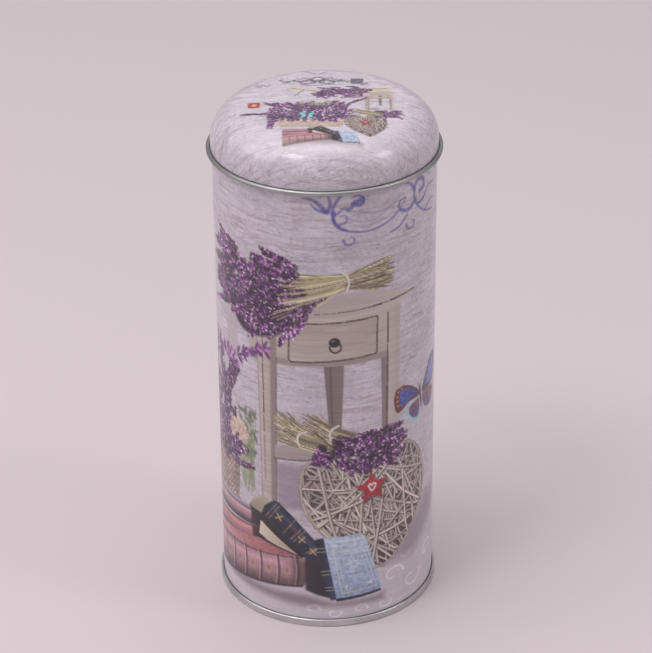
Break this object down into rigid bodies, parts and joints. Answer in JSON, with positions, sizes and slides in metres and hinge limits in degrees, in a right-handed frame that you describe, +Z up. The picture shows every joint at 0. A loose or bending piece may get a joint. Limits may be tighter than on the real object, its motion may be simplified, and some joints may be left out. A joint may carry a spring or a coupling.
{
  "type": "talcum powder tin",
  "caption": "Tall round decorated tinplate tin with a slip lid, a lift-out perforated sifter and a turning shutter for powder.",
  "frame": {"origin": "middle of the base, on the surface the tin stands on", "axes": "+Z up along the tin's axis; the front of the printed picture faces -Y"},
  "size_m": [0.0842, 0.0841, 0.1948],
  "materials": {
    "printed_tinplate": "printed picture under a satin varnish, bare tin inside",
    "bare_tinplate": "satin tinplate",
    "sealing_compound": "matt",
    "plated_steel": "bright nickel plate",
    "liner_card": "matt card"
  },
  "bodies": {
    "tin": {"body_wall": "printed_tinplate", "bottom_end": "bare_tinplate", "seam_gasket": "sealing_compound"},
    "sifter": {"sifter_plate": "bare_tinplate", "pivot_rivet": "plated_steel", "spring_washer": "plated_steel", "stop_pin": "plated_steel"},
    "shutter": {"shutter_disc": "bare_tinplate", "turn_knob": "plated_steel"},
    "lid": {"lid_shell": "printed_tinplate", "lid_liner": "liner_card"}
  },
  "joints": [
    {"name": "sifter_lift", "type": "slide", "parent": "tin", "child": "sifter", "axis": [0, 0, 1], "range_m": [0, 0.02]},
    {"name": "lid_lift", "type": "slide", "parent": "sifter", "child": "lid", "axis": [0, 0, 1], "range_m": [0, 0.05]},
    {"name": "shutter_turn", "type": "hinge", "parent": "sifter", "child": "shutter", "pos_m": [0, 0, 0.1802], "axis": [0, 0, 1], "range_deg": [0, 18]}
  ]
}
